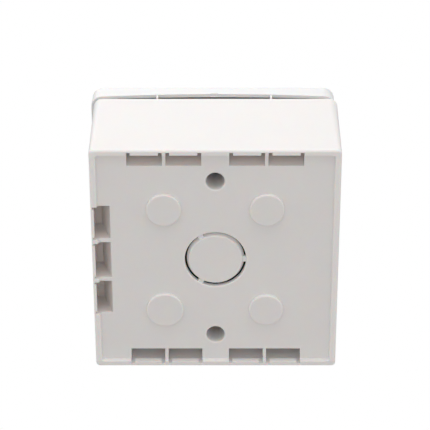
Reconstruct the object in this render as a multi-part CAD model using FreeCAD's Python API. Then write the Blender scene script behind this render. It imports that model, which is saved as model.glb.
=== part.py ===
"""Manual call point for a wall: a white surface box, a hinged fascia with a pressable
operating plate, a key-turned reset barrel and the switch and board behind them.

Millimetres. X is to the right seen from the front, Z is up, the front faces -Y.
The origin is the centre of the back face, on the plane of the wall (y = 0), so that
a depth of 40 mm from the wall lies at y = -40.
"""
import FreeCAD, Part
import math
import os

from FreeCAD import Vector

# Surface box
BACK_WIDTH = 85.0
FIXING_CENTRES = 60.3
BOX_DEPTH = 41.0
BOX_DRAFT = 0.65
BACK_CORNER_RADIUS = 1.4
FRONT_CORNER_RADIUS = 3.0
BOX_WALL = 2.2
RIM_WIDTH = 2.0
PLATE_RECESS = 1.35
PLATE_THICKNESS = 2.0
RECESS_DRAFT = 0.45
SCREW_HOLE_RADIUS = 3.2
SCREW_BOSS_WALL = 2.4
SCREW_BOSS_HEIGHT = 10.5
HOLE_LIP_ROUND = 0.45
PAD_RADIUS = 6.0
LARGE_PAD_RADIUS = 6.5
PAD_X = 17.65
PAD_Z = 19.65
PAD_EDGE = 0.5
REAR_EDGE_ROUND = 0.8

# Knock-out in the middle of the back plate: a bevelled disc held in its hole by three tabs
KNOCKOUT_RADIUS = 10.6
KNOCKOUT_FACE_RADIUS = 9.1
KNOCKOUT_BEVEL_DEPTH = 1.7
KNOCKOUT_SLOT = 0.65
TAB_WIDTH = 1.9
TAB_SETBACK = 0.45
TAB_ANGLES = (180.0, 60.0, -60.0)

# Cable bays along the edges of the back, each a pocket that narrows with depth
BAY_WIDTH = 6.55
BAY_DEPTH = 12.5
BAY_LEAN = 3.65
BAY_SKIRT = 1.2
BAR_DEPTH = 2.2
BAR_THICKNESS = 1.95
MEMBRANE = 1.0
SIDE_BAR_THICKNESS = 1.05
SIDE_MEMBRANE = 0.5
NOTCH_WIDTH = 1.3
EDGE_BAY_WIDTH = 12.05
EDGE_BAY_START = 4.7
EDGE_BAY_RIB = 1.15
SIDE_BAY_RIB = 1.45
SIDE_BAY_MIDDLE = 13.8
SIDE_BAY_OUTER = 12.6
SIDE_NOTCH_WIDTH = 0.9

# Chassis
PILLAR_RADIUS = 3.5
MOUTH_DEPTH = 6.0
DECK_THICKNESS = 2.0
CHASSIS_CLEARANCE = 0.3
CHASSIS_WALL = 1.8
SHOULDER_THICKNESS = 1.7
SHOULDER_STEP = 0.85
SHOULDER_ARCH = 2.4
FLANGE_THICKNESS = 2.6
FLANGE_TOP_CLEARANCE = 1.0
ARCH_END = 2.8
CATCH_RADIUS = 1.0
CATCH_LENGTH = 9.0

# Fascia
FASCIA_OVERHANG = 0.83
FASCIA_SIDE_PLAY = 0.9
FASCIA_EDGE_WALL = 1.0
FASCIA_FRONT_WALL = 2.0
FASCIA_DEPTH = 14.2
FASCIA_STRAIGHT = 7.5
FASCIA_TAPER = 5.0
FASCIA_CORNER_RADIUS = 4.0
FASCIA_REAR_GAP = 1.8
FASCIA_ARCH = 2.1
FASCIA_CROWN = 0.3
FASCIA_CROWN_LENGTH = 5.0
FASCIA_EDGE_ROUND = 1.0
PRY_NOTCH_WIDTH = 2.6
PRY_NOTCH_DEPTH = 0.5
HINGE_SPACING = 40.4
HINGE_SHIFT = 0.5
HINGE_ARM_WIDTH = 0.7
HINGE_END_RADIUS = 0.9
HINGE_SETBACK = 1.5
HINGE_BELOW_TOP = 1.03
HINGE_CLEARANCE = 0.1
CRADLE_CHEEK = 0.5
CRADLE_LENGTH = 2.2

# Operating plate
PLATE_OVERLAP = 2.0
WINDOW_WIDTH = 44.0
WINDOW_HEIGHT = 38.0
BEZEL_WIDTH = 3.0
BEZEL_DEPTH = 1.5
PRESS_THICKNESS = 2.5
PRESS_TRAVEL = 3.5
FRONT_CLEARANCE = 0.3
PRESS_CORNER = 2.0
MARK_THICKNESS = 0.25
MARK_DOT_RADIUS = 4.0
MARK_ARROW_LENGTH = 9.0
MARK_ARROW_WIDTH = 9.0
MARK_ARROW_GAP = 2.5
MARK_BAR = 1.2
POST_RADIUS = 2.0
POST_X = 19.0
POST_Z = 6.0
RUNNING_FIT = 0.05
GUIDE_WALL = 1.35
GUIDE_LENGTH = 8.0
SPRING_WIRE_RADIUS = 0.3
SPRING_RADIUS = 2.75
SPRING_TURNS = 5

# Flag that drops into view above the window
FLAG_TRAVEL = 5.0
FLAG_THICKNESS = 1.4
FLAG_STEM_WIDTH = 10.0
FLAG_BAR_WIDTH = 24.0
FLAG_BAR_HEIGHT = 5.0
FLAG_SIDE_GAP = 0.3
SLOT_WIDTH = 20.0
SLOT_HEIGHT = 4.0
SLOT_ABOVE_WINDOW = 3.0
LENS_THICKNESS = 1.4
LENS_SETBACK = 0.4
RAIL_WIDTH = 2.0
RAIL_HEIGHT = 12.0
RAIL_Z = 8.0

# Reset barrel and its bracket
BARREL_Z = -29.0
BARREL_RADIUS = 3.5
BARREL_DISC_RADIUS = 6.0
BARREL_COLLAR_RADIUS = 4.2
BARREL_TURN = 72.0
PIN_RADIUS = 1.5
PIN_CLEARANCE = 0.15
KEYHOLE_RADIUS = 3.2
BRACKET_WALL = 2.6
BRACKET_LEG = 2.0
BRACKET_LEG_X = 8.8
BRACKET_HEIGHT = 9.0
BRACKET_FOOT = 6.5
BRACKET_FOOT_THICKNESS = 1.5
SNAP_MOUTH = 6.2

# Switch
SWITCH_X = -21.0
SWITCH_BOTTOM = -20.0
SWITCH_LENGTH = 20.0
SWITCH_WIDTH = 6.4
SWITCH_HEIGHT = 10.0
LEVER_LENGTH = 18.0
LEVER_WIDTH = 4.0
LEVER_THICKNESS = 0.4
LEVER_TURN = 12.0
LEVER_PRESSED_ANGLE = 2.0
LEVER_PIN_RADIUS = 0.6
LEVER_EYE_RADIUS = 1.1
PLUNGER_RADIUS = 1.0
PLUNGER_TRAVEL = 1.0
PLUNGER_ARM = 6.0
PLUNGER_LENGTH = 3.0
NUB_ARM = 16.0
NUB_RADIUS = 1.2
LEVER_GAP = 0.25

# Circuit board
BOARD_WIDTH = 50.0
BOARD_HEIGHT = 52.0
BOARD_THICKNESS = 1.6
BOARD_STANDOFF = 6.1
STANDOFF_RADIUS = 2.6
STANDOFF_X = 21.0
STANDOFF_Z = 19.0
TERMINAL_WAYS = 4
TERMINAL_PITCH = 5.0
TERMINAL_HEIGHT = 9.0
TERMINAL_DEPTH = 10.0
TERMINAL_Z = -18.5
ENTRY_WIDTH = 3.6
ENTRY_HEIGHT = 4.4
LED_X = 19.5
LED_Z = 24.6
LED_RADIUS = 1.5
LED_HEIGHT = 3.4
PIPE_RADIUS = 1.5
PIPE_COLLAR = 2.6
PIPE_GAP = 0.3
RESISTOR_RADIUS = 1.3
RESISTOR_LENGTH = 7.0
RESISTOR_XS = (-12.0, -4.0)
RESISTOR_Z = 4.0
LEAD_RADIUS = 0.35
LEAD_LENGTH = 2.5
LEAD_BEND = 0.8

# Screws: head radius, head height, shank radius
CHASSIS_SCREW = (3.0, 2.0, 1.7)
BOARD_SCREW = (2.3, 1.5, 1.2)
THREAD_CLEARANCE = 0.05
SCREW_LENGTH = 10.0

# Depths from the wall that several pieces share
INNER_FACE = PLATE_RECESS + PLATE_THICKNESS
DECK_DEPTH = BOX_DEPTH - MOUTH_DEPTH
DECK_FRONT = DECK_DEPTH + DECK_THICKNESS
FLANGE_REAR = BOX_DEPTH + SHOULDER_THICKNESS
FLANGE_FRONT = FLANGE_REAR + FLANGE_THICKNESS
FASCIA_REAR = BOX_DEPTH + FASCIA_REAR_GAP
FASCIA_FRONT = FASCIA_REAR + FASCIA_DEPTH
FASCIA_INNER = FASCIA_FRONT - FASCIA_FRONT_WALL
HINGE_DEPTH = BOX_DEPTH + HINGE_SETBACK
PRESS_FRONT = FASCIA_INNER - FRONT_CLEARANCE
PRESS_REAR = PRESS_FRONT - PRESS_THICKNESS
FLAG_FRONT = PRESS_REAR - PRESS_TRAVEL - 0.5
FLAG_REAR = FLAG_FRONT - FLAG_THICKNESS
GUIDE_FRONT = DECK_FRONT + GUIDE_LENGTH
BOARD_FRONT = DECK_DEPTH - BOARD_STANDOFF
BOARD_REAR = BOARD_FRONT - BOARD_THICKNESS
BRACKET_FRONT = PRESS_FRONT - 1.1
BRACKET_REAR = BRACKET_FRONT - BRACKET_WALL
DISC_FRONT = BRACKET_REAR - 0.3
DISC_REAR = FLAG_FRONT + 0.5
SWITCH_FRONT = DECK_FRONT + SWITCH_HEIGHT

# Half widths
BACK_HALF = BACK_WIDTH / 2
BAY_INNER = BACK_HALF - BAY_WIDTH
ARCH_HALF_SPAN = BACK_HALF - ARCH_END
FRONT_HALF = BACK_HALF + BOX_DRAFT
CAVITY_FRONT_HALF = FRONT_HALF - BOX_WALL
PLUG_HALF = CAVITY_FRONT_HALF - CHASSIS_CLEARANCE
SHOULDER_HALF = FRONT_HALF - SHOULDER_STEP
FASCIA_HALF = BACK_HALF + FASCIA_OVERHANG
FASCIA_INNER_HALF = FASCIA_HALF - FASCIA_EDGE_WALL
FLANGE_HALF_X = FASCIA_INNER_HALF - FASCIA_SIDE_PLAY - CHASSIS_CLEARANCE
FLANGE_HALF_Z = FASCIA_INNER_HALF - FASCIA_CROWN - FLANGE_TOP_CLEARANCE
HINGE_Z = FASCIA_HALF - HINGE_BELOW_TOP
PRESS_HALF_X = WINDOW_WIDTH / 2 + PLATE_OVERLAP
PRESS_HALF_Z = WINDOW_HEIGHT / 2 + PLATE_OVERLAP
SLOT_Z = WINDOW_HEIGHT / 2 + SLOT_ABOVE_WINDOW
GUIDE_RADIUS = POST_RADIUS + RUNNING_FIT + GUIDE_WALL
CRANK_RADIUS = FLAG_TRAVEL / 2 / math.sin(math.radians(BARREL_TURN / 2))
LEVER_HINGE_Z = SWITCH_BOTTOM + 1.0
LEVER_REST_ANGLE = LEVER_PRESSED_ANGLE + LEVER_TURN
LEVER_HINGE_DEPTH = SWITCH_FRONT + 0.3

EXTRA = 1.0


def block(x0, x1, depth0, depth1, z0, z1):
    """A box between two depths from the wall."""
    corner = Vector(min(x0, x1), -max(depth0, depth1), min(z0, z1))
    return Part.makeBox(abs(x1 - x0), abs(depth1 - depth0), abs(z1 - z0), corner)


def rod(x, z, radius, depth0, depth1):
    """A round bar square to the wall, between two depths."""
    start = Vector(x, -max(depth0, depth1), z)
    return Part.makeCylinder(radius, abs(depth1 - depth0), start, Vector(0, 1, 0))


def cross_rod(x0, x1, depth, z, radius):
    """A round bar along X."""
    return Part.makeCylinder(radius, x1 - x0, Vector(x0, -depth, z), Vector(1, 0, 0))


def rounded_wire(half_x, half_z, radius, depth, centre_x=0.0):
    """A rectangle with round corners in a plane parallel to the wall."""
    def point(x, z):
        return Vector(centre_x + x, -depth, z)

    edges = []
    quarter = radius * (1 - math.sqrt(0.5))
    corners = ((1, 1), (-1, 1), (-1, -1), (1, -1))
    for number, (sx, sz) in enumerate(corners):
        upright = point(sx * half_x, sz * (half_z - radius))
        level = point(sx * (half_x - radius), sz * half_z)
        middle = point(sx * (half_x - quarter), sz * (half_z - quarter))
        first, last = (upright, level) if number % 2 == 0 else (level, upright)
        if edges:
            edges.append(Part.makeLine(edges[-1].lastVertex().Point, first))
        edges.append(Part.Arc(first, middle, last).toShape())
    edges.append(Part.makeLine(edges[-1].lastVertex().Point, edges[0].firstVertex().Point))
    return Part.Wire(edges)


def tapered(half0, half1, radius0, radius1, depth0, depth1, centre_x=0.0):
    """A square block with round corners whose half width runs from half0 to half1."""
    sections = [
        rounded_wire(half0, half0, radius0, depth0, centre_x),
        rounded_wire(half1, half1, radius1, depth1, centre_x),
    ]
    return Part.makeLoft(sections, True, True)


def rounded_block(half_x, half_z, radius, depth0, depth1, centre_x=0.0, centre_z=0.0):
    """A plate with round corners between two depths."""
    wire = rounded_wire(half_x, half_z, radius, depth1, centre_x)
    solid = Part.Face(wire).extrude(Vector(0, depth1 - depth0, 0))
    solid.translate(Vector(0, 0, centre_z))
    return solid


def outline(points, direction):
    """A flat shape through the points, extruded along a direction."""
    wire = Part.makePolygon([Vector(*point) for point in points + points[:1]])
    return Part.Face(wire).extrude(Vector(*direction))


def box_half(depth):
    """Half the outer width of the surface box at a depth from the wall."""
    return BACK_HALF + BOX_DRAFT * depth / BOX_DEPTH


def edges_at(shape, depth):
    """The edges of a shape that lie wholly at one depth from the wall."""
    return [
        edge for edge in shape.Edges
        if abs(edge.BoundBox.YMin + depth) < 1e-4 and abs(edge.BoundBox.YMax + depth) < 1e-4
    ]


def rim_radius(edge):
    """The radius of a circular edge, rounded off, or none for any other edge."""
    return round(edge.Curve.Radius, 4) if isinstance(edge.Curve, Part.Circle) else None


def screw(x, z, size, seat_depth, length, toward_wall=True):
    """A pan-head screw with a cross recess, its head seated at a depth from the wall.

    A screw driven towards the wall has its head on the front of its seat.
    """
    head_radius, head_height, shank_radius = size
    way = 1 if toward_wall else -1
    head_end = seat_depth + way * head_height
    head = rod(x, z, head_radius, seat_depth, head_end)
    head = head.makeFillet(head_height * 0.3, edges_at(head, head_end))
    recess_floor = head_end - way * head_height * 0.55
    arm = head_radius * 0.62
    slot = head_radius * 0.11
    head = head.cut(block(x - arm, x + arm, recess_floor, head_end + way, z - slot, z + slot))
    head = head.cut(block(x - slot, x + slot, recess_floor, head_end + way, z - arm, z + arm))
    return head.fuse(rod(x, z, shank_radius, seat_depth, seat_depth - way * length))


def coil(x, z, rear, front):
    """A compression spring round a post, with its wire touching both seats."""
    length = front - rear - 2 * SPRING_WIRE_RADIUS
    helix = Part.makeHelix(length / SPRING_TURNS, length, SPRING_RADIUS)
    section = Part.makeCircle(SPRING_WIRE_RADIUS, Vector(SPRING_RADIUS, 0, 0), Vector(0, 1, 0))
    spring = Part.Wire(helix.Edges).makePipeShell([Part.Wire(section)], True, True)
    spring.rotate(Vector(0, 0, 0), Vector(1, 0, 0), 90)
    spring.translate(Vector(x, -rear - SPRING_WIRE_RADIUS, z))
    return spring


def fixing_points():
    """The two wall screws, on the upright centre line."""
    return [(0.0, side * FIXING_CENTRES / 2) for side in (1, -1)]


def pad_circles():
    """The centres and radii of the four round pads on the back, one of them larger."""
    circles = [(PAD_X, PAD_Z, PAD_RADIUS), (-PAD_X, PAD_Z, PAD_RADIUS), (-PAD_X, -PAD_Z, PAD_RADIUS)]
    return circles + [(PAD_X, -PAD_Z, LARGE_PAD_RADIUS)]


def hinge_xs():
    """The middles of the two hinge arms."""
    return [HINGE_SHIFT + side * HINGE_SPACING / 2 for side in (1, -1)]


def pillar_points():
    """The two pillars that carry the chassis, on the level centre line."""
    return [(side * FIXING_CENTRES / 2, 0.0) for side in (1, -1)]


def bay(start, width, notch, bar, membrane, turns):
    """The hollow of one cable bay, and the skirt round it, on the top edge.

    The outer wall is a thin membrane behind a thicker bar, with a notch at each end of the bar.
    turns is how many quarter turns about Y bring the top edge to the wanted one.
    """
    outer_face = BACK_HALF - membrane
    valley = BAY_INNER + BAY_LEAN
    end = start + width
    points = [
        (start, EXTRA, BAY_INNER), (start, EXTRA, outer_face), (start, -BAY_DEPTH, outer_face),
        (start, -BAY_DEPTH, valley), (start, -PLATE_RECESS, BAY_INNER),
    ]
    hollow = outline(points, (width, 0, 0))
    hollow = hollow.cut(
        block(start + notch, end - notch, -EXTRA, BAR_DEPTH, BACK_HALF - bar, outer_face + EXTRA)
    )
    skirt_end = BAY_DEPTH + BAY_SKIRT
    points = [
        (start - BAY_SKIRT, -PLATE_RECESS, BAY_INNER - BAY_SKIRT),
        (start - BAY_SKIRT, -PLATE_RECESS, outer_face),
        (start - BAY_SKIRT, -skirt_end, outer_face),
        (start - BAY_SKIRT, -skirt_end, valley - BAY_SKIRT),
    ]
    skirt = outline(points, (width + 2 * BAY_SKIRT, 0, 0))
    for shape in (hollow, skirt):
        shape.rotate(Vector(0, 0, 0), Vector(0, 1, 0), 90 * turns)
    return hollow, skirt


def all_bays():
    """Two pairs of bays on the top edge, two on the bottom edge and three on the +X edge."""
    bays = []
    second = EDGE_BAY_START + EDGE_BAY_WIDTH + EDGE_BAY_RIB
    edge_wall = (NOTCH_WIDTH, BAR_THICKNESS, MEMBRANE)
    for turns in (0, 2):
        for start in (EDGE_BAY_START, second):
            for bay_start in (start, -start - EDGE_BAY_WIDTH):
                bays.append(bay(bay_start, EDGE_BAY_WIDTH, *edge_wall, turns))
    side_wall = (SIDE_NOTCH_WIDTH, SIDE_BAR_THICKNESS, SIDE_MEMBRANE)
    middle = SIDE_BAY_MIDDLE / 2
    outer = middle + SIDE_BAY_RIB
    sides = ((-middle, SIDE_BAY_MIDDLE), (outer, SIDE_BAY_OUTER), (-outer - SIDE_BAY_OUTER, SIDE_BAY_OUTER))
    for bay_start, width in sides:
        bays.append(bay(bay_start, width, *side_wall, 1))
    return bays


def knockout_slot():
    """The slot round the bevelled knock-out disc, broken by three tabs."""
    bevel_end = PLATE_RECESS + KNOCKOUT_BEVEL_DEPTH
    disc_radius = KNOCKOUT_RADIUS - KNOCKOUT_SLOT
    slot = rod(0, 0, KNOCKOUT_RADIUS, PLATE_RECESS, INNER_FACE + EXTRA)
    slot = slot.cut(rod(0, 0, disc_radius, bevel_end, INNER_FACE + EXTRA))
    slot = slot.cut(
        Part.makeCone(
            KNOCKOUT_FACE_RADIUS, disc_radius, KNOCKOUT_BEVEL_DEPTH, Vector(0, -PLATE_RECESS, 0), Vector(0, -1, 0)
        )
    )
    half = TAB_WIDTH / 2
    for angle in TAB_ANGLES:
        tab = block(0, KNOCKOUT_RADIUS + EXTRA, PLATE_RECESS + TAB_SETBACK, INNER_FACE, -half, half)
        tab.rotate(Vector(0, 0, 0), Vector(0, 1, 0), -angle)
        slot = slot.cut(tab)
    return slot


def back_box():
    """The surface box: walls, recessed back plate, pads, cable bays and pillars."""
    outer = tapered(BACK_HALF, FRONT_HALF, BACK_CORNER_RADIUS, FRONT_CORNER_RADIUS, 0, BOX_DEPTH)
    outer = outer.makeFillet(REAR_EDGE_ROUND, edges_at(outer, 0))
    cavity_rear_half = box_half(INNER_FACE) - BOX_WALL
    cavity = tapered(cavity_rear_half, CAVITY_FRONT_HALF, 0.6, 1.4, INNER_FACE, BOX_DEPTH)
    recess_half = BACK_HALF - RIM_WIDTH
    recess = tapered(recess_half, recess_half - RECESS_DRAFT, 1.0, 0.8, 0, PLATE_RECESS)
    box = outer.cut(cavity).cut(recess)
    bays = all_bays()
    for _, skirt in bays:
        box = box.fuse(skirt)
    for x, z in fixing_points():
        boss_radius = SCREW_HOLE_RADIUS + SCREW_BOSS_WALL
        box = box.fuse(rod(x, z, boss_radius, INNER_FACE - 0.5, INNER_FACE + SCREW_BOSS_HEIGHT))
    for x, z in pillar_points():
        box = box.fuse(rod(x, z, PILLAR_RADIUS, INNER_FACE - 0.5, DECK_DEPTH))
    for x, z, radius in pad_circles():
        pad = rod(x, z, radius, 0, PLATE_RECESS + 0.5)
        box = box.fuse(pad.makeFillet(PAD_EDGE, edges_at(pad, 0)))
    for hollow, _ in bays:
        box = box.cut(hollow)
    for x, z in fixing_points():
        box = box.cut(rod(x, z, SCREW_HOLE_RADIUS, 0, INNER_FACE + SCREW_BOSS_HEIGHT + EXTRA))
    pilot = CHASSIS_SCREW[2] + THREAD_CLEARANCE
    for x, z in pillar_points():
        box = box.cut(rod(x, z, pilot, DECK_DEPTH - SCREW_LENGTH, DECK_DEPTH + EXTRA))
    hole = rod(0, 0, KNOCKOUT_RADIUS, 0, INNER_FACE + EXTRA)
    disc = box.common(hole).cut(knockout_slot())
    box = box.cut(hole)
    rims = (SCREW_HOLE_RADIUS, KNOCKOUT_RADIUS)
    lips = [edge for edge in edges_at(box, PLATE_RECESS) if rim_radius(edge) in rims]
    return box.makeFillet(HOLE_LIP_ROUND, lips).fuse(disc)


def arch_prism(depth, sagitta, z0, z1):
    """A shallow arch in plan, flat side towards the wall, between two heights."""
    left = Vector(-ARCH_HALF_SPAN, -depth, z0)
    right = Vector(ARCH_HALF_SPAN, -depth, z0)
    top = Vector(0, -depth - sagitta, z0)
    behind = Vector(0, EXTRA, 0)
    edges = [
        Part.Arc(left, top, right).toShape(),
        Part.makeLine(right, right + behind),
        Part.makeLine(right + behind, left + behind),
        Part.makeLine(left + behind, left),
    ]
    return Part.Face(Part.Wire(edges)).extrude(Vector(0, 0, z1 - z0))


def sagging_arch(z, sag, depth0, depth1):
    """A bar across the part whose underside sags in the middle, between two depths."""
    left = Vector(-ARCH_HALF_SPAN, -depth1, z)
    right = Vector(ARCH_HALF_SPAN, -depth1, z)
    low = Vector(0, -depth1, z - sag)
    above = Vector(0, 0, FASCIA_EDGE_WALL / 2)
    edges = [
        Part.Arc(left, low, right).toShape(),
        Part.makeLine(right, right + above),
        Part.makeLine(right + above, left + above),
        Part.makeLine(left + above, left),
    ]
    return Part.Face(Part.Wire(edges)).extrude(Vector(0, depth1 - depth0, 0))


def ring(half_x, half_z, radius, wall, depth0, depth1):
    """An open frame with round corners."""
    outer = rounded_block(half_x, half_z, radius, depth0, depth1)
    inner = rounded_block(half_x - wall, half_z - wall, radius - wall / 2, depth0 - EXTRA, depth1 + EXTRA)
    return outer.cut(inner)


def standoff_points():
    """The four standoffs of the circuit board."""
    return [(sx * STANDOFF_X, sz * STANDOFF_Z) for sx in (1, -1) for sz in (1, -1)]


def post_points():
    """The two guide posts of the operating plate."""
    return [(side * POST_X, POST_Z) for side in (1, -1)]


def foot_screw_points():
    """The two screws in the feet of the barrel bracket."""
    reach = BRACKET_LEG_X + BRACKET_LEG + BRACKET_FOOT / 2
    return [(side * reach, BARREL_Z) for side in (1, -1)]


def lever_point(arm, angle):
    """Depth and height of the lever's middle at a distance from its hinge."""
    turn = math.radians(angle)
    return LEVER_HINGE_DEPTH + arm * math.sin(turn), LEVER_HINGE_Z + arm * math.cos(turn)


def lever_reach(radius):
    """How far a flat-ended rod of this radius must stay from the middle of the resting lever."""
    slope = math.radians(LEVER_REST_ANGLE)
    return LEVER_THICKNESS / 2 / math.cos(slope) + radius * math.tan(slope) + LEVER_GAP


def switch_pin_points():
    """The three solder pins of the switch."""
    middle = SWITCH_BOTTOM + SWITCH_LENGTH / 2
    return [(SWITCH_X, middle + step * 5.0) for step in (-1, 0, 1)]


def chassis():
    """The frame that plugs into the mouth of the box and carries everything in front."""
    body = ring(PLUG_HALF, PLUG_HALF, 1.6, CHASSIS_WALL, DECK_DEPTH, BOX_DEPTH + EXTRA)
    shoulder_wall = SHOULDER_HALF - PLUG_HALF + CHASSIS_WALL
    shoulder = ring(SHOULDER_HALF, SHOULDER_HALF, 2.8, shoulder_wall, BOX_DEPTH, FLANGE_REAR)
    body = body.fuse(shoulder.cut(sagging_arch(SHOULDER_HALF, SHOULDER_ARCH, BOX_DEPTH, FLANGE_REAR)))
    inner_half = PLUG_HALF - CHASSIS_WALL
    flange = rounded_block(FLANGE_HALF_X, FLANGE_HALF_Z, 3.0, FLANGE_REAR, FLANGE_FRONT)
    flange = flange.cut(rounded_block(inner_half, inner_half, 1.0, FLANGE_REAR - 1, FLANGE_FRONT + 1))
    body = body.fuse(flange)
    body = body.fuse(block(-inner_half - 1, inner_half + 1, DECK_DEPTH, DECK_FRONT, -inner_half - 1, inner_half + 1))
    for x, z in standoff_points():
        body = body.fuse(rod(x, z, STANDOFF_RADIUS, BOARD_FRONT, DECK_DEPTH + 0.5))
    for x, z in post_points():
        body = body.fuse(rod(x, z, GUIDE_RADIUS, DECK_FRONT - 0.5, GUIDE_FRONT))
    body = body.fuse(flag_guide())
    catch_depth = (FLANGE_REAR + FLANGE_FRONT) / 2
    catch_z = CATCH_RADIUS + CHASSIS_CLEARANCE - FASCIA_INNER_HALF
    for x in hinge_xs():
        body = body.fuse(hinge_cradle(x))
        start, end = x - CATCH_LENGTH / 2, x + CATCH_LENGTH / 2
        body = body.fuse(cross_rod(start, end, catch_depth, catch_z, CATCH_RADIUS))
    for x, z in pillar_points():
        body = body.cut(rod(x, z, CHASSIS_SCREW[2] + 0.3, DECK_DEPTH - EXTRA, DECK_FRONT + EXTRA))
    for x, z in standoff_points():
        pilot = BOARD_SCREW[2] + THREAD_CLEARANCE
        body = body.cut(rod(x, z, pilot, BOARD_FRONT - EXTRA, DECK_DEPTH))
    for x, z in foot_screw_points():
        body = body.cut(rod(x, z, BOARD_SCREW[2] + THREAD_CLEARANCE, DECK_DEPTH - EXTRA, DECK_FRONT + EXTRA))
    for x, z in post_points():
        body = body.cut(rod(x, z, POST_RADIUS + RUNNING_FIT, DECK_DEPTH - EXTRA, GUIDE_FRONT + EXTRA))
    body = body.cut(rod(LED_X, LED_Z, PIPE_RADIUS + RUNNING_FIT, DECK_DEPTH - EXTRA, DECK_FRONT + EXTRA))
    first, _, last = switch_pin_points()
    slot = block(SWITCH_X - 1.2, SWITCH_X + 1.2, DECK_DEPTH - EXTRA, DECK_FRONT + EXTRA, first[1] - 1, last[1] + 1)
    return body.cut(slot)


def flag_guide():
    """Two rails beside the flag's stem and the bridge behind it, standing on the deck."""
    inner = FLAG_STEM_WIDTH / 2 + FLAG_SIDE_GAP
    outer = inner + RAIL_WIDTH
    top = RAIL_Z + RAIL_HEIGHT
    guide = block(-outer, outer, DECK_FRONT - 0.5, FLAG_FRONT, RAIL_Z, top)
    guide = guide.cut(block(-inner, inner, FLAG_REAR - FLAG_SIDE_GAP, FLAG_FRONT + EXTRA, RAIL_Z - 1, top + 1))
    arch_front = FLAG_REAR - FLAG_SIDE_GAP - RAIL_WIDTH
    return guide.cut(block(-inner, inner, DECK_FRONT, arch_front, RAIL_Z - 1, top + 1))


def hinge_cradle(x):
    """A forked seat on the shoulder for one hinge arm of the fascia."""
    half = HINGE_ARM_WIDTH / 2 + HINGE_CLEARANCE + CRADLE_CHEEK
    base = SHOULDER_HALF - SHOULDER_ARCH - 0.5
    front = BOX_DEPTH + CRADLE_LENGTH
    cradle = block(x - half, x + half, BOX_DEPTH, front, base, HINGE_Z - 0.3)
    seat_half = HINGE_ARM_WIDTH / 2 + HINGE_CLEARANCE
    seat_radius = HINGE_END_RADIUS + HINGE_CLEARANCE
    cradle = cradle.cut(cross_rod(x - seat_half, x + seat_half, HINGE_DEPTH, HINGE_Z, seat_radius))
    return cradle.cut(
        block(x - seat_half, x + seat_half, HINGE_DEPTH, front + EXTRA, HINGE_Z - seat_radius, HINGE_Z)
    )


def fascia():
    """The hinged front cover: a shell with a window, a flag slot, a keyhole and two hinge arms."""
    shift = FASCIA_SIDE_PLAY
    bend = FASCIA_REAR + FASCIA_STRAIGHT
    front_half = FASCIA_HALF - FASCIA_TAPER
    corner = FASCIA_CORNER_RADIUS
    outer = tapered(FASCIA_HALF, FASCIA_HALF, corner, corner, FASCIA_REAR, bend, shift)
    nose = tapered(FASCIA_HALF, front_half, corner, corner, bend, FASCIA_FRONT, shift)
    shell = outer.fuse(nose).removeSplitter()
    shell = shell.makeFillet(FASCIA_EDGE_ROUND, edges_at(shell, FASCIA_FRONT))
    inner_corner = corner - FASCIA_EDGE_WALL
    hollow = tapered(
        FASCIA_INNER_HALF, FASCIA_INNER_HALF, inner_corner, inner_corner, FASCIA_REAR - EXTRA, bend, shift
    )
    taper_share = (FASCIA_INNER - bend) / (FASCIA_FRONT - bend)
    inner_front = FASCIA_INNER_HALF - FASCIA_TAPER * taper_share
    hollow = hollow.fuse(
        tapered(FASCIA_INNER_HALF, inner_front, inner_corner, inner_corner, bend, FASCIA_INNER, shift)
    )
    shell = shell.cut(hollow)
    crown_end = FASCIA_REAR + FASCIA_CROWN_LENGTH
    shell = shell.fuse(sagging_arch(FASCIA_INNER_HALF, FASCIA_CROWN, FASCIA_REAR, crown_end))
    shell = shell.cut(arch_prism(FASCIA_REAR, FASCIA_ARCH, FASCIA_INNER_HALF - 1.5, FASCIA_HALF + 1))
    notch_floor = FASCIA_REAR + FASCIA_ARCH + PRY_NOTCH_DEPTH
    notch_left = HINGE_SHIFT - PRY_NOTCH_WIDTH / 2
    notch_right = HINGE_SHIFT + PRY_NOTCH_WIDTH / 2
    shell = shell.cut(
        block(notch_left, notch_right, FASCIA_REAR, notch_floor, FASCIA_INNER_HALF, FASCIA_HALF + 1)
    )
    window = rounded_block(
        WINDOW_WIDTH / 2, WINDOW_HEIGHT / 2, PRESS_CORNER, FASCIA_INNER - 1, FASCIA_FRONT + 1, shift
    )
    bezel = Part.makeLoft(
        [
            rounded_wire(
                WINDOW_WIDTH / 2 + BEZEL_WIDTH, WINDOW_HEIGHT / 2 + BEZEL_WIDTH, PRESS_CORNER + 2, FASCIA_FRONT, shift
            ),
            rounded_wire(WINDOW_WIDTH / 2, WINDOW_HEIGHT / 2, PRESS_CORNER, FASCIA_FRONT - BEZEL_DEPTH, shift),
        ],
        True,
        True,
    )
    shell = shell.cut(window).cut(bezel)
    shell = shell.cut(lens_slot(shift, FASCIA_INNER - 1, FASCIA_FRONT + 1))
    shell = shell.cut(rod(shift, BARREL_Z, KEYHOLE_RADIUS, FASCIA_INNER - 1, FASCIA_FRONT + 1))
    shell = shell.cut(rod(LED_X, LED_Z, LED_RADIUS + 0.2, FASCIA_INNER - 1, FASCIA_FRONT + 1))
    for x in hinge_xs():
        shell = shell.fuse(hinge_arm(x))
    return shell


def lens_slot(centre_x, depth0, depth1):
    """The level slot above the window through which the flag shows."""
    centre_z = SLOT_Z + SLOT_HEIGHT / 2
    return rounded_block(SLOT_WIDTH / 2, SLOT_HEIGHT / 2, 0.8, depth0, depth1, centre_x, centre_z)


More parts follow.
